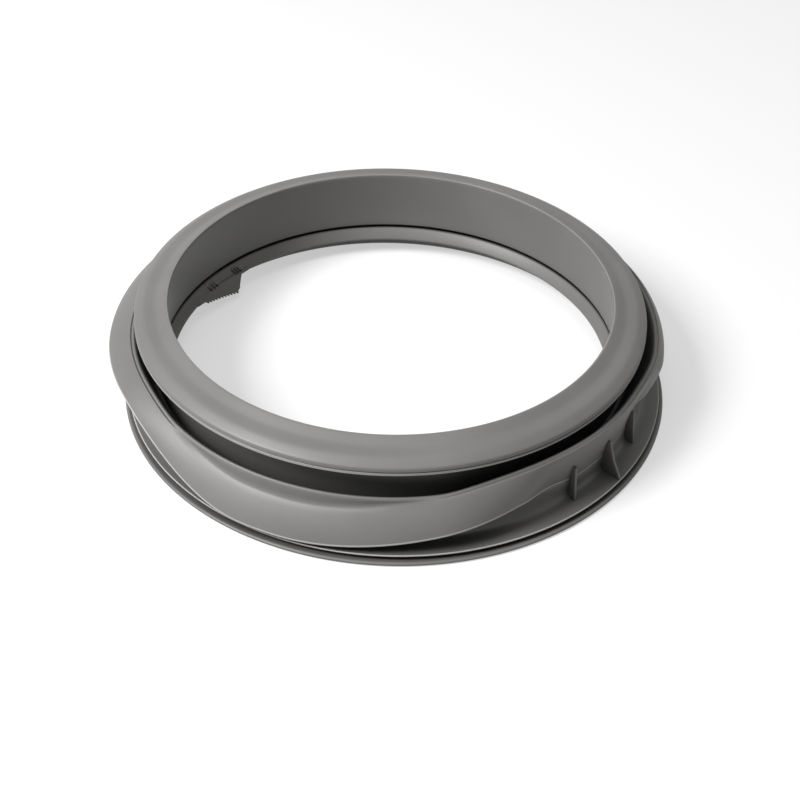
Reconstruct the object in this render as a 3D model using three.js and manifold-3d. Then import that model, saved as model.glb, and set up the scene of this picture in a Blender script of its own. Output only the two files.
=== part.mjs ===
import * as THREE from 'three';
import { mergeVertices } from 'three/addons/utils/BufferGeometryUtils.js';
import Module from 'manifold-3d';

// Washing machine door seal, one elastomer moulding with a folded wall.
// Millimetres, Z up. The throat axis is the Z axis and the base stands on Z = 0.
// The moulding is a revolve whose cross-section changes round the ring: the outer fold climbs
// from its low line beside the ribs (azimuth 0, towards -Y) up to the high line at the back.

// Driving dimensions
const baseRadius = 190;
const baseShift = 4.75;
const overallHeight = 74;
const throatRadius = 152;
const flangeWidth = 23.8;
const shoulderWidth = 6.6;
const shoulderFall = 4;
const flangeFall = 4.4;
const rimHeight = 5.7;
const rimBead = 1.8;
const tubeWall = 7;
const throatFlare = 6.8;
const slitHeight = 24.4;
const slitGap = 2.4;
const lipInset = 5.6;
const lipFace = 7.2;
const lipWall = 5;
const ridgeInset = 13.2;
const ridgeHeight = 42.4;
const ridgeWall = 4.6;
const bandInset = 11.4;
const bandInsetFar = 3.8;
const bandBulge = 1.5;
const bandLowTop = 28.5;
const foldLow = 8.6;
const foldRiseRibs = 18.5;
const foldRiseBack = 29.5;
const foldRiseFar = 33.5;
const bandRiseRibs = 29;
const bandRiseFar = 23.5;
const bandRiseBack = 19;
const foldSwell = 5;
const lowAngle = 72;
const levelAngle = 16;
const liftAngle = 80;
const backAngle = 118;
const lipEdge = 1.2;
const neckInset = 14.2;
const beadHeight = 3;
const grooveDepth = 7.5;
const seatEdgeHeight = 6.6;
const seatEdgeInset = 3.2;
const seatCone = 1.2;
const ribCount = 3;
const ribCentre = 2.3;
const ribPitch = 11.5;
const ribThickness = 2;
const ribTop = 34;
const ribFoot = 8.4;
const ribFootMiddle = 0.7;
const tongueAngle = 181;
const tongueLead = 18;
const tongueToothed = 33;
const tongueTrail = 9;
const tongueDepth = 10.4;
const tongueShallow = 2;
const tongueThickness = 3;
const toothCount = 9;
const toothHeight = 1.5;
const slotPlaces = [-9.6, -7.2, -4.8, 16, 19, 22.6];
const slotLength = 6.2;
const slotWidth = 1.1;
const slotDepth = 1.6;
const slotRise = 1.7;
const ringSteps = 86;

// Derived sizes
const rimRadius = throatRadius + flangeWidth;
const slitRadius = throatRadius + throatFlare;
const lipRadius = slitRadius - lipInset;
const lipHeight = slitHeight - slitGap - lipFace;
const ridgeRadius = baseRadius - ridgeInset;
const neckRadius = baseRadius - neckInset;
const tubeRadius = slitRadius + tubeWall - 2.2;
const slotFloor = slitHeight + 2.4;
const rimTop = overallHeight - flangeFall - shoulderFall;
const rimBottom = rimTop - rimHeight;

const smooth = (t) => {
  const k = THREE.MathUtils.clamp(t, 0, 1);
  return k * k * (3 - 2 * k);
};
const mix = (a, b, t) => a + (b - a) * t;
const softMax = (a, b, k) => (a + b + Math.hypot(a - b, k)) / 2;

// Heights and radii of the outer fold at an angle from the ribs. It dips to its low line on the
// negative side only; on the positive side it runs on high, as a wide roll, to the back.
function foldAt(angle) {
  const a = Math.abs(angle);
  const towardsRibs = smooth(1 - a / lowAngle);
  const levelling = smooth((lowAngle - a) / (lowAngle - levelAngle));
  const towardsBack = smooth((a - liftAngle) / (backAngle - liftAngle));
  const dip = {
    low: foldLow + foldRiseRibs * levelling + foldRiseBack * towardsBack,
    top: bandLowTop + bandRiseRibs * towardsRibs + bandRiseBack * towardsBack,
    radius: mix(baseRadius, neckRadius + 0.7, smooth(1 - (a - 9) / 26)) + foldSwell * smooth((a - 98) / 40),
    inset: bandInset - 2 * smooth((a - 98) / 40),
  };
  const rollOn = smooth((a - 13) / 15);
  const rollOff = smooth((a - 50) / 110);
  const crestDrop = smooth((a - 8) / 20);
  const roll = {
    low: mix(foldLow + mix(foldRiseRibs, foldRiseFar, rollOn), foldLow + foldRiseBack, rollOff),
    top: mix(bandLowTop + mix(bandRiseRibs, bandRiseFar, crestDrop), bandLowTop + bandRiseBack, rollOff),
    radius: mix(neckRadius + 0.7, baseRadius - 0.6, rollOn) + (foldSwell + 0.6) * rollOff,
    inset: mix(mix(bandInset, bandInsetFar, rollOn), bandInset - 2, rollOff),
  };
  const side = angle > 0 ? roll : dip;
  const lip = smooth((side.radius - neckRadius - 1.4) / 6);
  return { ...side, lip };
}

// Closed cross-section at an angle from the ribs, as radius and height
function sectionAt(angle) {
  const fold = foldAt(angle);
  const shift = baseShift * Math.cos(THREE.MathUtils.degToRad(angle));
  const seat = baseRadius + shift;
  const neck = neckRadius;
  const seatTop = seatEdgeHeight + seatCone;
  const crest = softMax(ridgeHeight, fold.top + 1, 1.5);
  const bandTop = Math.min(fold.top, crest - 1.2);
  const bandRadius = baseRadius - fold.inset;
  const crestRadius = ridgeRadius + Math.max(0, bandInset - fold.inset);
  const lift = fold.low - foldLow;
  const points = [];
  const add = (r, z) => points.push(new THREE.Vector2(r, z));
  const blend = (lipR, lipZ, softR, softZ) => add(mix(softR, lipR, fold.lip), mix(softZ, lipZ, fold.lip));

  // Seat bead, the groove over it and the sharp seat edge
  add(seat - 1.2, 0);
  add(seat, 1);
  add(seat - 0.2, beadHeight - 0.8);
  add(seat - 1.4, beadHeight - 0.1);
  add(seat - grooveDepth, beadHeight - 1);
  add(seat - grooveDepth - 0.3, seatEdgeHeight - 2);
  add(seat - seatEdgeInset - 0.4, seatEdgeHeight - 1.3);
  add(seat - seatEdgeInset, seatEdgeHeight - 1);
  add(seat - seatEdgeInset, seatEdgeHeight);
  add(neck + 2.4, seatTop);

  // Neck, the undercut and the thin lip of the outer fold
  add(neck + 0.5, mix(seatTop, fold.low, 0.22));
  add(neck, mix(seatTop, fold.low, 0.5));
  blend(neck + 1, fold.low + 0.4, neck + 0.1, mix(seatTop, fold.low, 0.62));
  blend(mix(neck, fold.radius, 0.5), fold.low + 0.8, neck + 0.2, mix(seatTop, fold.low, 0.76));
  blend(fold.radius - 1.6, fold.low + 0.3, neck + 0.3, mix(seatTop, fold.low, 0.9));
  blend(fold.radius - 0.3, fold.low, neck + 0.5, fold.low + 1.4);
  blend(fold.radius, fold.low + lipEdge, neck + 0.7, fold.low + 4);

  // Bulged band up to its upper line, the ridge wall and the ridge
  const bandR = (t) => mix(fold.radius, bandRadius, t) + bandBulge * 4 * t * (1 - t);
  const bandZ = (t) => mix(fold.low + lipEdge, bandTop, t);
  const softR = (t) => mix(neck + 0.7, bandRadius, t);
  blend(bandR(0.3), bandZ(0.3), softR(0.3), bandZ(0.4));
  blend(bandR(0.6), bandZ(0.6), softR(0.6), bandZ(0.66));
  blend(bandR(0.85), bandZ(0.85), softR(0.85), bandZ(0.87));
  add(bandRadius, bandTop);
  const valley = smooth((crest - bandTop - 2) / 8);
  add(crestRadius + 0.6 - 1.8 * valley, mix(mix(bandTop, crest, 0.45), bandTop + 2.5, valley));
  add(crestRadius, crest - 1.5);
  add(crestRadius - 1.4, crest);
  add(crestRadius - 3.4, crest - 1.2);
  add(mix(ridgeRadius, crestRadius, 0.6) - ridgeWall - 0.4, mix(slotFloor, crest, 0.62));
  add(ridgeRadius - ridgeWall - 2, mix(slotFloor, crest, 0.24));

  // Slot under the flange and the outer face of the tube
  add(ridgeRadius - ridgeWall - 4, slotFloor);
  add(tubeRadius + 0.8, slotFloor);
  add(tubeRadius, slotFloor + 2.6);
  add(tubeRadius - 1.6, mix(slotFloor, rimBottom, 0.6));
  add(tubeRadius - 2, rimBottom - 4.6);
  add(tubeRadius - 0.4, rimBottom - 1.8);

  // Flange: underside, rim bead, thin rim groove, shoulder and face
  add(rimRadius - 2.4, rimBottom - 0.6);
  add(rimRadius - 0.5, rimBottom);
  add(rimRadius, rimBottom + 0.6);
  add(rimRadius - 0.1, rimBottom + rimBead);
  add(rimRadius - 1.3, rimBottom + rimBead + 0.6);
  add(rimRadius - 0.1, rimBottom + rimBead + 1.2);
  add(rimRadius - 0.2, rimTop - 0.4);
  add(rimRadius - 1.1, rimTop + 0.5);
  add(rimRadius - shoulderWidth, rimTop + shoulderFall);
  add(rimRadius - 0.62 * flangeWidth, overallHeight - 0.84 * flangeFall);
  add(throatRadius + 2.2, overallHeight - 0.3);
  add(throatRadius + 0.8, overallHeight);
  add(throatRadius, overallHeight - 0.9);

  // Throat face down to the slit
  add(throatRadius + 0.05 * throatFlare, overallHeight - 5);
  add(throatRadius + 0.4 * throatFlare, mix(overallHeight, slitHeight, 0.42));
  add(throatRadius + 0.8 * throatFlare, mix(overallHeight, slitHeight, 0.76));
  add(slitRadius, slitHeight + 0.9);
  add(slitRadius + 1, slitHeight);

  // Inner fold: ceiling, end and floor
  add(slitRadius + 8.5, slitHeight - 1.4);
  add(ridgeRadius - 1.6, slitHeight - 3.8 + 0.35 * lift);
  add(ridgeRadius + 1.6, slitHeight - 7.4 + 0.5 * lift);
  add(neck - 4.4, slitHeight - 12 + 0.33 * lift);
  add(slitRadius + 9, slitHeight - 8.4);
  add(slitRadius + 1.6, slitHeight - slitGap - 0.4);

  // Lower lip and the underside
  add(slitRadius - 0.4, slitHeight - slitGap - 0.3);
  add(lipRadius, lipHeight + 0.5);
  add(lipRadius + 0.9, lipHeight - 0.7);
  add(lipRadius + 10, lipHeight - lipWall);
  add(neck - 9, 3);
  add(neck - 5, 0);
  points.push(points[0].clone());
  return points;
}

// Boolean solids
const wasm = await Module();
wasm.setup();

function toSolid(geometry) {
  const bare = new THREE.BufferGeometry();
  const source = geometry.index ? geometry : mergeVertices(geometry);
  bare.setAttribute('position', source.getAttribute('position').clone());
  bare.setIndex(Array.from(source.index.array));
  const merged = mergeVertices(bare, 1e-4);
  const index = merged.index.array;
  const keep = [];
  for (let i = 0; i < index.length; i += 3) {
    const [a, b, c] = [index[i], index[i + 1], index[i + 2]];
    if (a !== b && b !== c && a !== c) keep.push(a, b, c);
  }
  const mesh = new wasm.Mesh({
    numProp: 3,
    vertProperties: new Float32Array(merged.getAttribute('position').array),
    triVerts: new Uint32Array(keep),
  });
  return new wasm.Manifold(mesh);
}

function toGeometry(solid) {
  const mesh = solid.getMesh();
  const geometry = new THREE.BufferGeometry();
  geometry.setAttribute('position', new THREE.BufferAttribute(new Float32Array(mesh.vertProperties), 3));
  geometry.setIndex(Array.from(mesh.triVerts));
  geometry.computeVertexNormals();
  return geometry;
}

// Ring: a revolve of the section, each meridian reshaped to its own angle
function makeRing() {
  const geometry = new THREE.LatheGeometry(sectionAt(0), ringSteps);
  const position = geometry.getAttribute('position');
  const count = sectionAt(0).length;
  for (let step = 0; step <= ringSteps; step += 1) {
    const turn = (step % ringSteps) / ringSteps;
    const angle = turn <= 0.5 ? 360 * turn : 360 * turn - 360;
    const phi = 2 * Math.PI * turn;
    sectionAt(angle).forEach((point, row) => {
      position.setXYZ(step * count + row, point.x * Math.sin(phi), point.y, point.x * Math.cos(phi));
    });
  }
  geometry.rotateX(Math.PI / 2);
  return toSolid(geometry);
}

// Plate drawn in radius and height, its thickness centred on the meridian at an angle
function meridianPlate(outline, thickness, angle) {
  const shape = new THREE.Shape(outline.map(([r, z]) => new THREE.Vector2(r, z)));
  const geometry = new THREE.ExtrudeGeometry(shape, { depth: thickness, bevelEnabled: false });
  geometry.translate(0, 0, -thickness / 2);
  geometry.rotateX(Math.PI / 2);
  geometry.rotateZ(THREE.MathUtils.degToRad(angle - 90));
  return toSolid(geometry);
}

// Triangular ribs between the seat and the outer fold
function makeRibs() {
  const ribs = [];
  for (let i = 0; i < ribCount; i += 1) {
    const place = i - (ribCount - 1) / 2;
    const angle = ribCentre + place * ribPitch;
    const shift = baseShift * Math.cos(THREE.MathUtils.degToRad(angle));
    const foot = baseRadius + shift - seatEdgeInset - (place === 0 ? ribFootMiddle : ribFoot);
    const footHeight = seatEdgeHeight - 0.3;
    const outline = [
      [neckRadius - 1.2, footHeight],
      [foot, footHeight],
      [foot, seatEdgeHeight + 1.4],
      [mix(foot, neckRadius, 0.6), mix(seatEdgeHeight, ribTop, 0.5)],
      [neckRadius + 1.6, ribTop],
      [neckRadius - 1.2, ribTop],
    ];
    ribs.push(meridianPlate(outline, ribThickness, angle));
  }
  return ribs;
}

// Toothed tongue: a plate that carries on the slope of the lower lip, bent round the throat
function makeTongue() {
  const slope = new THREE.Vector2(lipInset, lipFace).normalize();
  const rootDepth = 2.4;
  const shape = new THREE.Shape();
  shape.moveTo(-tongueLead, rootDepth);
  shape.lineTo(-tongueLead, -0.4);
  shape.lineTo(-tongueLead * 0.56, -tongueDepth * 0.08);
  shape.lineTo(-tongueLead * 0.24, -tongueDepth * 0.68);
  shape.quadraticCurveTo(-tongueLead * 0.12, -tongueDepth, 0, -tongueDepth);
  const start = new THREE.Vector2(0, -tongueDepth);
  const end = new THREE.Vector2(tongueToothed, -tongueShallow);
  for (let tooth = 0; tooth < toothCount; tooth += 1) {
    const tip = new THREE.Vector2().lerpVectors(start, end, (tooth + 0.5) / toothCount);
    const root = new THREE.Vector2().lerpVectors(start, end, (tooth + 1) / toothCount);
    shape.lineTo(tip.x - 0.3 * toothHeight, tip.y - toothHeight);
    shape.lineTo(root.x, root.y);
  }
  shape.lineTo(tongueToothed + tongueTrail, -0.4);
  const topSteps = 10;
  for (let step = 0; step < topSteps; step += 1) {
    shape.lineTo(mix(tongueToothed + tongueTrail, -tongueLead, step / topSteps), rootDepth);
  }
  shape.closePath();
  const geometry = new THREE.ExtrudeGeometry(shape, {
    depth: tongueThickness,
    bevelEnabled: false,
    curveSegments: 3,
  });
  const position = geometry.getAttribute('position');
  const centre = THREE.MathUtils.degToRad(tongueAngle - 90);
  for (let i = 0; i < position.count; i += 1) {
    const along = position.getY(i);
    const behind = position.getZ(i) - 0.25;
    const turn = centre + position.getX(i) / lipRadius;
    const radius = lipRadius + slope.x * along + slope.y * behind;
    const height = lipHeight + 0.3 + slope.y * along - slope.x * behind;
    position.setXYZ(i, radius * Math.cos(turn), radius * Math.sin(turn), height);
  }
  return toSolid(geometry);
}

// Short drain slots cut into the face of the lower lip on both sides of the tongue's bulge
function makeSlots() {
  const slope = new THREE.Vector2(lipInset, lipFace).normalize();
  const centre = THREE.MathUtils.degToRad(tongueAngle - 90);
  return slotPlaces.map((place) => {
    const turn = centre + place / lipRadius;
    const outwards = new THREE.Vector3(Math.cos(turn), Math.sin(turn), 0);
    const along = new THREE.Vector3(-Math.sin(turn), Math.cos(turn), 0);
    const up = outwards.clone().multiplyScalar(slope.x).add(new THREE.Vector3(0, 0, slope.y));
    const inwards = new THREE.Vector3().crossVectors(along, up);
    const middle = outwards.clone().multiplyScalar(lipRadius);
    middle.z = lipHeight + 0.4;
    middle.addScaledVector(up, slotRise);
    const geometry = new THREE.BoxGeometry(slotWidth, slotLength, 2 * slotDepth);
    geometry.rotateZ(0.35);
    geometry.applyMatrix4(new THREE.Matrix4().makeBasis(along, up, inwards).setPosition(middle));
    return toSolid(geometry);
  });
}

let seal = makeRing();
for (const rib of makeRibs()) seal = seal.add(rib);
seal = seal.add(makeTongue());
for (const slot of makeSlots()) seal = seal.subtract(slot);

const rubber = new THREE.MeshStandardMaterial({ color: 0x8b8985, roughness: 0.55, metalness: 0 });
const group = new THREE.Group();
const sealMesh = new THREE.Mesh(toGeometry(seal), rubber);
sealMesh.name = 'door_seal';
group.add(sealMesh);

export default group;
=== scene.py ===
import math

import bmesh
import bpy
from mathutils import Matrix, Vector


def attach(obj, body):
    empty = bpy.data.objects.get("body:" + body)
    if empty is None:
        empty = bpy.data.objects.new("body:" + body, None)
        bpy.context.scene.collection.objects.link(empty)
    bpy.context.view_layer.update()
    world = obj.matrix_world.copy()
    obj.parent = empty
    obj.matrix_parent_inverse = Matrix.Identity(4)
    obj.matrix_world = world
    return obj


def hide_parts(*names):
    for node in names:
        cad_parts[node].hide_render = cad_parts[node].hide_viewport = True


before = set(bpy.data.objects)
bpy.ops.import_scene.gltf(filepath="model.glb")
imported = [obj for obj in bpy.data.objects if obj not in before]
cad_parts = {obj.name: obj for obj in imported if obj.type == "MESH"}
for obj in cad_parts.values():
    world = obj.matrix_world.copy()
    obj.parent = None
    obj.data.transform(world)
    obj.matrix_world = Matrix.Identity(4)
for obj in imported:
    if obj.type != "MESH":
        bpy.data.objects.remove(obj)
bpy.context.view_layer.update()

MM = 0.001
# Angle from the ribs (towards -Y) to the azimuth in the model's frame
RIBS_AZIMUTH = -90.0

# Camera
CAMERA_DISTANCE = 1.14
CAMERA_ELEVATION = math.radians(38.15)
CAMERA_AZIMUTH = math.radians(219.0)
CAMERA_ROLL = math.radians(1.24)
CAMERA_LENS = 71.726
AIM_RIGHT = -10.5 / 1593.9
AIM_DOWN = -24.8 / 1593.9


def add_camera():
    """Places the camera on the photograph's line of sight."""
    place = Vector((
        math.cos(CAMERA_ELEVATION) * math.cos(CAMERA_AZIMUTH),
        math.cos(CAMERA_ELEVATION) * math.sin(CAMERA_AZIMUTH),
        math.sin(CAMERA_ELEVATION),
    )) * CAMERA_DISTANCE
    forward = -place.normalized()
    right = forward.cross(Vector((0, 0, 1))).normalized()
    up = right.cross(forward)
    basis = Matrix((right, up, -forward)).transposed()
    tilt_axis = Vector((AIM_DOWN, AIM_RIGHT, 0))
    turn = basis @ Matrix.Rotation(CAMERA_ROLL, 3, "Z")
    turn = turn @ Matrix.Rotation(math.atan(tilt_axis.length), 3, tilt_axis.normalized())
    data = bpy.data.cameras.new("camera")
    data.lens = CAMERA_LENS
    data.sensor_width = 36
    data.clip_end = 50
    camera = bpy.data.objects.new("camera", data)
    camera.matrix_world = Matrix.Translation(place) @ turn.to_4x4()
    bpy.context.scene.collection.objects.link(camera)
    bpy.context.scene.camera = camera


add_camera()

# Sizes, as in the CAD source, in millimetres
base_radius = 190
base_shift = 4.75
overall_height = 74
throat_radius = 152
flange_width = 23.8
shoulder_width = 6.6
shoulder_fall = 4
flange_fall = 4.4
rim_height = 5.7
rim_bead = 1.8
tube_wall = 7
throat_flare = 6.8
slit_height = 24.4
slit_gap = 2.4
lip_inset = 5.6
lip_face = 7.2
lip_wall = 5
ridge_inset = 13.2
ridge_height = 42.4
ridge_wall = 4.6
band_inset = 11.4
band_inset_far = 3.8
band_bulge = 1.5
band_low_top = 28.5
fold_low = 8.6
fold_rise_ribs = 18.5
fold_rise_back = 29.5
fold_rise_far = 33.5
band_rise_ribs = 29
band_rise_far = 23.5
band_rise_back = 19
fold_swell = 5
low_angle = 72
level_angle = 16
lift_angle = 80
back_angle = 118
lip_edge = 1.2
neck_inset = 14.2
bead_height = 3
groove_depth = 7.5
seat_edge_height = 6.6
seat_edge_inset = 3.2
seat_cone = 1.2
rib_centre = 2.3
rib_pitch = 11.5
rib_thickness = 2
rib_top = 34
rib_foot = 8.4
rib_foot_middle = 0.7

rim_radius = throat_radius + flange_width
slit_radius = throat_radius + throat_flare
lip_radius = slit_radius - lip_inset
lip_height = slit_height - slit_gap - lip_face
ridge_radius = base_radius - ridge_inset
neck_radius = base_radius - neck_inset
tube_radius = slit_radius + tube_wall - 2.2
slot_floor = slit_height + 2.4
rim_top = overall_height - flange_fall - shoulder_fall
rim_bottom = rim_top - rim_height

RING_STEPS = 360
# Corner kinds: reach of the rounding, points in it, and how strongly the edge gets a painted highlight
SHARP = (0.35, 2, 0.25)
SMALL = (0.9, 3, 0.0)
FIRM = (2.2, 4, 0.0)
WIDE = (9.0, 5, 0.0)
LIP = (0.45, 3, 1.0)


def smooth(t):
    k = min(1.0, max(0.0, t))
    return k * k * (3 - 2 * k)


def mix(a, b, t):
    return a + (b - a) * t


def soft_max(a, b, k):
    return (a + b + math.hypot(a - b, k)) / 2


# At the ribs the crest lies lower and further out than in the solid, and so does the fold's foot
RIBS_SINK = 5
RIBS_REACH = 4.6
RIBS_FOOT = 10


def fold_at(angle):
    """Heights and radii of the outer fold at an angle from the ribs."""
    a = abs(angle)
    swell = smooth((a - 98) / 40)
    if angle <= 0:
        to_ribs = smooth(1 - a / low_angle)
        level = smooth((low_angle - a) / (low_angle - level_angle))
        to_back = smooth((a - lift_angle) / (back_angle - lift_angle))
        low = fold_low + fold_rise_ribs * level + fold_rise_back * to_back
        near = smooth(1 - a / 34)
        top = band_low_top + band_rise_ribs * to_ribs - RIBS_SINK * near + band_rise_back * to_back
        radius = mix(base_radius, neck_radius + 0.7, smooth(1 - (a - 5) / 36)) + fold_swell * swell
        inset = band_inset - 2 * swell - RIBS_REACH * near
    else:
        roll_on = smooth((a - 13) / 15)
        roll_off = smooth((a - 50) / 110)
        crest_drop = smooth((a - 8) / 20)
        low_near = fold_low + mix(fold_rise_ribs, fold_rise_far, roll_on)
        low = mix(low_near, fold_low + fold_rise_back, roll_off)
        top_near = band_low_top + mix(band_rise_ribs, band_rise_far, crest_drop)
        top = mix(top_near, band_low_top + band_rise_back, roll_off)
        top -= RIBS_SINK * (1 - crest_drop)
        radius = mix(neck_radius + 0.7, base_radius - 0.6, roll_on) + (fold_swell + 0.6) * roll_off
        inset = mix(mix(band_inset - RIBS_REACH, band_inset_far, roll_on), band_inset - 2, roll_off)
    low -= RIBS_FOOT * smooth(1 - (a - 5) / 20)
    lip = smooth((radius - neck_radius - 1.4) / 6)
    return low, top, radius, inset, lip


def section_at(angle):
    """Control corners of the closed cross-section: radius, height and corner kind."""
    low, top, radius, inset, lip = fold_at(angle)
    shift = base_shift * math.cos(math.radians(angle))
    seat = base_radius + shift
    neck = neck_radius
    seat_top = seat_edge_height + seat_cone
    crest = soft_max(ridge_height, top + 1, 1.5)
    band_top = min(top, crest - 1.2)
    band_radius = base_radius - inset
    crest_radius = ridge_radius + max(0, band_inset - inset)
    lift = low - fold_low
    corners = []

    def add(r, z, kind=SMALL):
        corners.append((r, z, kind))

    def blend(lip_r, lip_z, soft_r, soft_z, kind=SMALL):
        corners.append((mix(soft_r, lip_r, lip), mix(soft_z, lip_z, lip), kind))

    # Seat bead, groove and seat edge
    add(seat - 1.2, 0)
    add(seat, 1)
    add(seat - 0.2, bead_height - 0.8)
    add(seat - 1.4, bead_height - 0.1)
    add(seat - groove_depth, bead_height - 1)
    add(seat - groove_depth - 0.3, seat_edge_height - 2)
    add(seat - seat_edge_inset - 0.4, seat_edge_height - 1.3)
    add(seat - seat_edge_inset, seat_edge_height - 1, SHARP)
    add(seat - seat_edge_inset, seat_edge_height, LIP)
    add(neck + 2.4, seat_top, WIDE)
    # Neck, undercut and lip
    add(neck + 0.5, mix(seat_top, low, 0.22), WIDE)
    add(neck, mix(seat_top, low, 0.5), WIDE)
    blend(neck + 1, low + 0.4, neck + 0.1, mix(seat_top, low, 0.62), WIDE)
    blend(mix(neck, radius, 0.5), low + 0.8, neck + 0.2, mix(seat_top, low, 0.76), WIDE)
    blend(radius - 1.6, low + 0.3, neck + 0.3, mix(seat_top, low, 0.9))
    blend(radius - 0.3, low, neck + 0.5, low + 1.4, SHARP)
    blend(radius, low + lip_edge, neck + 0.7, low + 4, LIP)
    # Band, ridge wall and ridge

    def band(t, height_t):
        bulge = band_bulge * 4 * t * (1 - t)
        z_lip = mix(low + lip_edge, band_top, t)
        z_soft = mix(low + lip_edge, band_top, height_t)
        blend(mix(radius, band_radius, t) + bulge, z_lip, mix(neck + 0.7, band_radius, t), z_soft, WIDE)

    band(0.3, 0.4)
    band(0.6, 0.66)
    band(0.85, 0.87)
    add(band_radius, band_top, WIDE)
    valley = smooth((crest - band_top - 2) / 8)
    add(crest_radius + 0.6 - 1.8 * valley, mix(mix(band_top, crest, 0.45), band_top + 2.5, valley), WIDE)
    add(crest_radius, crest - 1.5)
    add(crest_radius - 1.4, crest)
    add(crest_radius - 3.4, crest - 1.2)
    add(mix(ridge_radius, crest_radius, 0.6) - ridge_wall - 0.4, mix(slot_floor, crest, 0.62), WIDE)
    add(ridge_radius - ridge_wall - 2, mix(slot_floor, crest, 0.24), WIDE)
    # Slot and outer face of the tube
    add(ridge_radius - ridge_wall - 4, slot_floor, WIDE)
    add(tube_radius + 0.8, slot_floor, WIDE)
    add(tube_radius, slot_floor + 2.6, WIDE)
    add(tube_radius - 1.6, mix(slot_floor, rim_bottom, 0.6), WIDE)
    add(tube_radius - 2, rim_bottom - 4.6, WIDE)
    add(tube_radius - 0.4, rim_bottom - 1.8, WIDE)
    # Flange
    add(rim_radius - 2.4, rim_bottom - 0.6)
    add(rim_radius - 0.5, rim_bottom, SHARP)
    add(rim_radius, rim_bottom + 0.6, LIP)
    add(rim_radius - 0.1, rim_bottom + rim_bead, SHARP)
    add(rim_radius - 1.3, rim_bottom + rim_bead + 0.6, SHARP)
    add(rim_radius - 0.1, rim_bottom + rim_bead + 1.2, SHARP)
    add(rim_radius - 0.2, rim_top - 0.4)
    add(rim_radius - 1.1, rim_top + 0.5)
    add(rim_radius - shoulder_width, rim_top + shoulder_fall, FIRM)
    add(rim_radius - 0.62 * flange_width, overall_height - 0.84 * flange_fall, FIRM)
    add(throat_radius + 2.2, overall_height - 0.3)
    add(throat_radius + 0.8, overall_height, SHARP)
    add(throat_radius, overall_height - 0.9)
    # Throat face
    add(throat_radius + 0.05 * throat_flare, overall_height - 5, WIDE)
    add(throat_radius + 0.4 * throat_flare, mix(overall_height, slit_height, 0.42), WIDE)
    add(throat_radius + 0.8 * throat_flare, mix(overall_height, slit_height, 0.76), WIDE)
    add(slit_radius, slit_height + 0.9)
    add(slit_radius + 1, slit_height)
    # Inner fold, which stays clear of the neck where the outer fold lies high
    add(slit_radius + 8.5, slit_height - 1.4, WIDE)
    deep = smooth((slit_height - 8.4 - fold_low - 0.5 * lift) / 6)
    add(mix(neck - 7, ridge_radius - 1.6, deep), slit_height - 3.8 + 0.35 * lift, WIDE)
    add(mix(neck - 4, ridge_radius + 1.6, deep), slit_height - 7.4 + 0.5 * lift, WIDE)
    add(neck - 4.4, slit_height - 12 + 0.33 * lift, WIDE)
    add(slit_radius + 9, slit_height - 8.4, WIDE)
    add(slit_radius + 1.6, slit_height - slit_gap + 0.6)
    # Lower lip and underside
    add(slit_radius - 0.4, slit_height - slit_gap + 0.7)
    add(lip_radius, lip_height + 0.5)
    add(lip_radius + 0.9, lip_height - 0.7)
    add(lip_radius + 10, lip_height - lip_wall, WIDE)
    add(neck - 9, 3, WIDE)
    add(neck - 5, 0)
    return corners


def rounded(corners):
    """Rounds each corner of a closed outline by its kind."""
    line = []
    count = len(corners)
    for i, (r, z, (reach, parts, painted_highlight_amount)) in enumerate(corners):
        here = Vector((r, z))
        back = Vector(corners[i - 1][:2]) - here
        ahead = Vector(corners[(i + 1) % count][:2]) - here
        start = here + back.normalized() * min(reach, 0.46 * back.length)
        end = here + ahead.normalized() * min(reach, 0.46 * ahead.length)
        # Edges of this kind carry a painted highlight, faded to nothing just past the rounding
        if painted_highlight_amount:
            line.append((here + back.normalized() * min(reach + 0.5, 0.48 * back.length), 0.0))
        for k in range(parts):
            t = k / (parts - 1)
            point = start * (1 - t) ** 2 + here * 2 * t * (1 - t) + end * t * t
            line.append((point, painted_highlight_amount))
        if painted_highlight_amount:
            line.append((here + ahead.normalized() * min(reach + 0.5, 0.48 * ahead.length), 0.0))
    return line


def finish_piece(bm, name):
    """Turns a bmesh into a smooth-shaded object in the scene."""
    mesh = bpy.data.meshes.new(name)
    bm.to_mesh(mesh)
    bm.free()
    mesh.polygons.foreach_set("use_smooth", [True] * len(mesh.polygons))
    piece = bpy.data.objects.new(name, mesh)
    bpy.context.scene.collection.objects.link(piece)
    return piece


def make_ring():
    """Spins the section at the ribs, then sets each meridian to its own section."""
    bm = bmesh.new()
    row_layer = bm.verts.layers.int.new("row")
    painted_highlight_layer = bm.verts.layers.float.new("painted_highlight")
    first = rounded(section_at(0))
    row = []
    for i, (point, painted_highlight_amount) in enumerate(first):
        vert = bm.verts.new((0, -point.x * MM, point.y * MM))
        vert[row_layer] = i
        row.append(vert)
    edges = [bm.edges.new((row[i - 1], row[i])) for i in range(len(row))]
    bmesh.ops.spin(bm, geom=row + edges, cent=(0, 0, 0), axis=(0, 0, 1), angle=2 * math.pi,
                   steps=RING_STEPS, use_merge=True, use_duplicate=False)
    bmesh.ops.remove_doubles(bm, verts=bm.verts, dist=1e-7)
    lines = {}
    for vert in bm.verts:
        azimuth = math.degrees(math.atan2(vert.co.y, vert.co.x))
        step = round((azimuth - RIBS_AZIMUTH) * RING_STEPS / 360) % RING_STEPS
        if step not in lines:
            angle = step * 360 / RING_STEPS
            lines[step] = rounded(section_at(angle if angle <= 180 else angle - 360))
        point, painted_highlight_amount = lines[step][vert[row_layer]]
        # Amount of painted highlight for this row, which lightens the rubber's colour
        vert[painted_highlight_layer] = painted_highlight_amount
        turn = math.radians(step * 360 / RING_STEPS + RIBS_AZIMUTH)
        vert.co = Vector((point.x * math.cos(turn), point.x * math.sin(turn), point.y)) * MM
    bmesh.ops.recalc_face_normals(bm, faces=bm.faces)
    return finish_piece(bm, "seal_ring")


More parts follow.
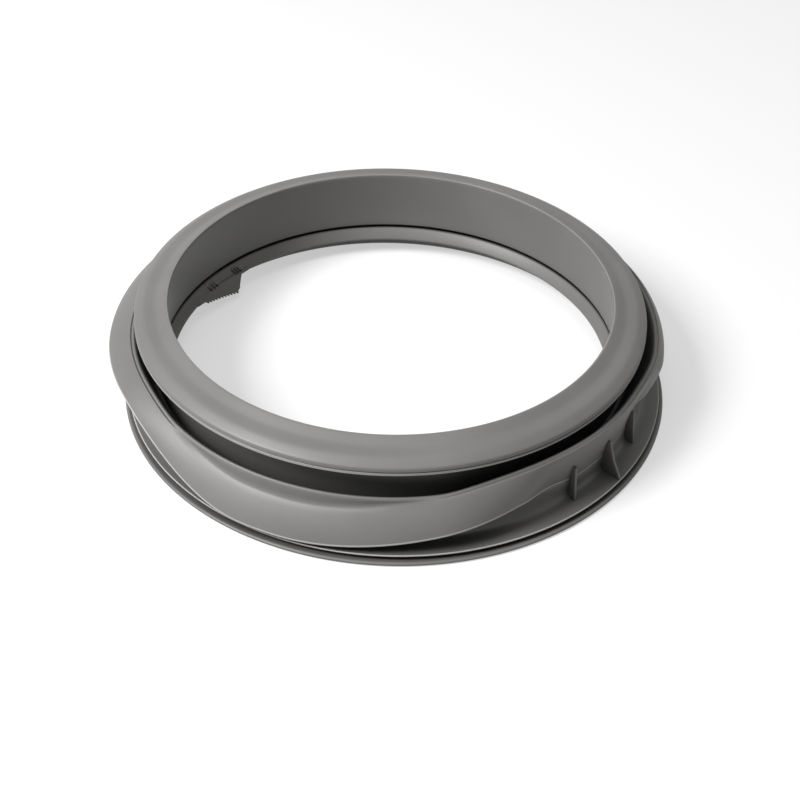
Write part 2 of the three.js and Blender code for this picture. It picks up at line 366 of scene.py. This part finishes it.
def add_rib(bm, outline, angle):
    """One rib drawn in radius and height, standing on its meridian; make_ribs rounds its edges."""
    verts = [bm.verts.new((r * MM, -rib_thickness / 2 * MM, z * MM)) for r, z in outline]
    face = bm.faces.new(verts)
    raised = bmesh.ops.extrude_face_region(bm, geom=[face])["geom"]
    moved = [g for g in raised if isinstance(g, bmesh.types.BMVert)]
    bmesh.ops.translate(bm, verts=moved, vec=(0, rib_thickness * MM, 0))
    turn = Matrix.Rotation(math.radians(angle + RIBS_AZIMUTH), 3, "Z")
    bmesh.ops.rotate(bm, verts=verts + moved, cent=(0, 0, 0), matrix=turn)


RIB_COUNT = 3
RIB_REACH = 5
RIB_ROUNDING = 0.55


def make_ribs():
    """Triangular ribs between the seat and the fold, with rounded edges."""
    bm = bmesh.new()
    for i in range(RIB_COUNT):
        angle = rib_centre + (i - 1) * rib_pitch
        shift = base_shift * math.cos(math.radians(angle))
        foot = base_radius + shift - seat_edge_inset - (rib_foot_middle if i == 1 else rib_foot)
        outline = [
            (neck_radius - 1.2, seat_edge_height - 0.3), (foot, seat_edge_height - 0.3),
            (foot, seat_edge_height + 1.4),
            (mix(foot, neck_radius + RIB_REACH, 0.6), mix(seat_edge_height, rib_top, 0.5)),
            (neck_radius + RIB_REACH, rib_top), (neck_radius - 1.2, rib_top),
        ]
        add_rib(bm, outline, angle)
    bmesh.ops.recalc_face_normals(bm, faces=bm.faces)
    bmesh.ops.bevel(bm, geom=list(bm.edges), offset=RIB_ROUNDING * MM, segments=3,
                    affect="EDGES", profile=0.5, material=-1)
    return finish_piece(bm, "ribs")


TONGUE_ANGLE = 181
TONGUE_LEAD = 18
TONGUE_TOOTHED = 33
TONGUE_TRAIL = 9
TONGUE_DEPTH = 10.4
TONGUE_SHALLOW = 2
TONGUE_THICKNESS = 1.1
TONGUE_STEP = 2.2
TOOTH_COUNT = 11
TOOTH_HEIGHT = 2


def make_tongue():
    """Toothed tongue of the lower lip, a plate bent round the throat."""
    outline = [(-TONGUE_LEAD, 2.4), (-TONGUE_LEAD, -0.4), (-TONGUE_LEAD * 0.56, -TONGUE_DEPTH * 0.08),
               (-TONGUE_LEAD * 0.24, -TONGUE_DEPTH * 0.68), (-TONGUE_LEAD * 0.16, -TONGUE_DEPTH * 0.87),
               (0, -TONGUE_DEPTH)]
    for tooth in range(TOOTH_COUNT):
        t = (tooth + 0.5) / TOOTH_COUNT
        u = (tooth + 1) / TOOTH_COUNT
        outline.append((TONGUE_TOOTHED * t - 0.3 * TOOTH_HEIGHT,
                        mix(-TONGUE_DEPTH, -TONGUE_SHALLOW, t) - TOOTH_HEIGHT))
        outline.append((TONGUE_TOOTHED * u, mix(-TONGUE_DEPTH, -TONGUE_SHALLOW, u)))
    outline += [(TONGUE_TOOTHED + TONGUE_TRAIL, -0.4), (TONGUE_TOOTHED + TONGUE_TRAIL, 2.4)]
    bm = bmesh.new()
    verts = [bm.verts.new((x, y, 0)) for x, y in outline]
    face = bm.faces.new(verts)
    raised = bmesh.ops.extrude_face_region(bm, geom=[face])["geom"]
    moved = [g for g in raised if isinstance(g, bmesh.types.BMVert)]
    bmesh.ops.translate(bm, verts=moved, vec=(0, 0, TONGUE_THICKNESS))
    bmesh.ops.triangulate(bm, faces=[f for f in bm.faces if len(f.verts) > 4])
    for cut in range(-8, 18):
        plane = Vector((cut * TONGUE_STEP, 0, 0))
        every = bm.verts[:] + bm.edges[:] + bm.faces[:]
        bmesh.ops.bisect_plane(bm, geom=every, plane_co=plane, plane_no=(1, 0, 0))
    slope = Vector((lip_inset, lip_face)).normalized()
    centre = math.radians(TONGUE_ANGLE + RIBS_AZIMUTH)
    for vert in bm.verts:
        along, behind = vert.co.y, vert.co.z - 0.25
        turn = centre + vert.co.x / lip_radius
        r = lip_radius + slope.x * along + slope.y * behind
        z = lip_height + 0.3 + slope.y * along - slope.x * behind
        vert.co = Vector((r * math.cos(turn), r * math.sin(turn), z)) * MM
    bmesh.ops.recalc_face_normals(bm, faces=bm.faces)
    return finish_piece(bm, "drain_tongue")


SLOT_PLACES = (-9.6, -7.2, -4.8, 16, 19, 22.6)
SLOT_SIZE = (1.2, 5.2, 4.6)
SLOT_RISE = 3.3
SLOT_LEAN = -0.55


def cut_slots(pieces):
    """Cuts the short drain slots into the face of the lower lip."""
    bm = bmesh.new()
    slope = Vector((lip_inset, lip_face)).normalized()
    for place in SLOT_PLACES:
        turn = math.radians(TONGUE_ANGLE + RIBS_AZIMUTH) + place / lip_radius
        out = Vector((math.cos(turn), math.sin(turn), 0))
        along = Vector((-math.sin(turn), math.cos(turn), 0))
        up = out * slope.x + Vector((0, 0, slope.y))
        basis = Matrix((along, up, along.cross(up))).transposed().to_4x4()
        middle = out * lip_radius + Vector((0, 0, lip_height + 0.4)) + up * SLOT_RISE
        size = Matrix.Diagonal(Vector(SLOT_SIZE) * MM).to_4x4()
        where = Matrix.Translation(middle * MM) @ basis @ Matrix.Rotation(SLOT_LEAN, 4, "Z") @ size
        bmesh.ops.create_cube(bm, size=1, matrix=where)
    cutter = finish_piece(bm, "slot_cutter")
    for piece in pieces:
        modifier = piece.modifiers.new("slots", "BOOLEAN")
        modifier.operation = "DIFFERENCE"
        modifier.solver = "EXACT"
        modifier.object = cutter
        bpy.context.view_layer.update()
        result = piece.evaluated_get(bpy.context.evaluated_depsgraph_get())
        cut = bpy.data.meshes.new_from_object(result)
        piece.modifiers.clear()
        piece.data = cut
    bpy.data.objects.remove(cutter)


def make_rubber():
    """Matt grey moulded rubber: soft clouds, fine grain, painted highlights on the edges and painted
    shade in the hollows.
    """
    material = bpy.data.materials.new("moulded_rubber")
    material.use_nodes = True
    nodes, links = material.node_tree.nodes, material.node_tree.links
    shader = nodes["Principled BSDF"]
    shader.inputs["Roughness"].default_value = 0.46
    shader.inputs["Specular IOR Level"].default_value = 0.4
    coords = nodes.new("ShaderNodeTexCoord")
    cloud = nodes.new("ShaderNodeTexNoise")
    cloud.inputs["Scale"].default_value = 14
    cloud.inputs["Detail"].default_value = 4
    links.new(coords.outputs["Object"], cloud.inputs["Vector"])
    ramp = nodes.new("ShaderNodeValToRGB")
    ramp.color_ramp.elements[0].position = 0.3
    ramp.color_ramp.elements[0].color = (0.135, 0.132, 0.127, 1)
    ramp.color_ramp.elements[1].position = 0.75
    ramp.color_ramp.elements[1].color = (0.165, 0.161, 0.155, 1)
    links.new(cloud.outputs["Fac"], ramp.inputs["Fac"])
    # Painted highlight: the colour is lightened along the sharp edges where they catch the light
    painted_highlight = nodes.new("ShaderNodeAttribute")
    painted_highlight.attribute_name = "painted_highlight"
    painted_highlight_mix = nodes.new("ShaderNodeMix")
    painted_highlight_mix.data_type = "RGBA"
    painted_highlight_mix.inputs["B"].default_value = (0.40, 0.395, 0.385, 1)
    links.new(painted_highlight.outputs["Fac"], painted_highlight_mix.inputs["Factor"])
    links.new(ramp.outputs["Color"], painted_highlight_mix.inputs["A"])
    # Painted shade: the colour is darkened towards black in hollows, creases and under overhangs by an
    # occlusion mask
    painted_shade_occlusion = nodes.new("ShaderNodeAmbientOcclusion")
    painted_shade_occlusion.inputs["Distance"].default_value = 0.035
    painted_shade_level = nodes.new("ShaderNodeMapRange")
    painted_shade_level.inputs["From Min"].default_value = 0.15
    painted_shade_level.inputs["From Max"].default_value = 0.8
    painted_shade_level.inputs["To Min"].default_value = 0.24
    links.new(painted_shade_occlusion.outputs["AO"], painted_shade_level.inputs["Value"])
    painted_shade_mix = nodes.new("ShaderNodeMix")
    painted_shade_mix.data_type = "RGBA"
    painted_shade_mix.inputs["A"].default_value = (0, 0, 0, 1)
    links.new(painted_shade_level.outputs["Result"], painted_shade_mix.inputs["Factor"])
    links.new(painted_highlight_mix.outputs["Result"], painted_shade_mix.inputs["B"])
    links.new(painted_shade_mix.outputs["Result"], shader.inputs["Base Color"])
    grain = nodes.new("ShaderNodeTexNoise")
    grain.inputs["Scale"].default_value = 900
    grain.inputs["Detail"].default_value = 2
    links.new(coords.outputs["Object"], grain.inputs["Vector"])
    bump = nodes.new("ShaderNodeBump")
    bump.inputs["Strength"].default_value = 0.12
    bump.inputs["Distance"].default_value = 0.0004
    links.new(grain.outputs["Fac"], bump.inputs["Height"])
    links.new(bump.outputs["Normal"], shader.inputs["Normal"])
    return material


def seen_rays(nodes, links):
    """1 for rays from the camera, a gloss or a clear material, 0 for light on the object."""
    path = nodes.new("ShaderNodeLightPath")
    first = nodes.new("ShaderNodeMath")
    first.operation = "MAXIMUM"
    links.new(path.outputs["Is Camera Ray"], first.inputs[0])
    links.new(path.outputs["Is Glossy Ray"], first.inputs[1])
    both = nodes.new("ShaderNodeMath")
    both.operation = "MAXIMUM"
    links.new(first.outputs[0], both.inputs[0])
    links.new(path.outputs["Is Transmission Ray"], both.inputs[1])
    return both.outputs[0]


def make_floor():
    """Plain pale floor that keeps the soft shadow."""
    bm = bmesh.new()
    bmesh.ops.create_grid(bm, x_segments=1, y_segments=1, size=12)
    bmesh.ops.translate(bm, verts=bm.verts[:], vec=(0, 0, -0.0002))
    floor = finish_piece(bm, "floor")
    material = bpy.data.materials.new("pale_floor")
    material.use_nodes = True
    nodes, links = material.node_tree.nodes, material.node_tree.links
    shader = nodes["Principled BSDF"]
    shader.inputs["Base Color"].default_value = (0.46, 0.46, 0.46, 1)
    shader.inputs["Roughness"].default_value = 1
    shader.inputs["Specular IOR Level"].default_value = 0
    glow = nodes.new("ShaderNodeMath")
    glow.operation = "MULTIPLY"
    glow.inputs[1].default_value = 0.52
    links.new(seen_rays(nodes, links), glow.inputs[0])
    links.new(glow.outputs[0], shader.inputs["Emission Strength"])
    shader.inputs["Emission Color"].default_value = (1, 1, 1, 1)
    floor.data.materials.append(material)


def add_light(name, azimuth, elevation, distance, size, power):
    """Soft square lamp that looks at the seal."""
    data = bpy.data.lights.new(name, "AREA")
    data.shape = "SQUARE"
    data.size = size
    data.energy = power
    turn, rise = math.radians(azimuth), math.radians(elevation)
    flat = math.cos(rise)
    place = Vector((flat * math.cos(turn), flat * math.sin(turn), math.sin(rise))) * distance
    lamp = bpy.data.objects.new(name, data)
    lamp.location = place
    lamp.rotation_euler = (-place).to_track_quat("-Z", "Y").to_euler()
    bpy.context.scene.collection.objects.link(lamp)


def make_world():
    """White surroundings for the camera, a gentler light on the object."""
    world = bpy.data.worlds.new("studio")
    bpy.context.scene.world = world
    world.use_nodes = True
    nodes, links = world.node_tree.nodes, world.node_tree.links
    background = nodes["Background"]
    background.inputs["Color"].default_value = (1, 1, 1, 1)
    level = nodes.new("ShaderNodeMapRange")
    level.inputs["To Min"].default_value = 0.16
    level.inputs["To Max"].default_value = 1
    links.new(seen_rays(nodes, links), level.inputs["Value"])
    links.new(level.outputs["Result"], background.inputs["Strength"])


ring = make_ring()
ribs = make_ribs()
tongue = make_tongue()
cut_slots((ring, tongue))
rubber = make_rubber()
for piece in (ring, ribs, tongue):
    piece.data.materials.append(rubber)
    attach(piece, "root")
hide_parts("door_seal")

make_floor()
make_world()
add_light("key", 157, 46, 2.2, 0.8, 64)
add_light("fill", 200, 80, 2.4, 1.6, 13)
bpy.context.scene.view_settings.view_transform = "Standard"
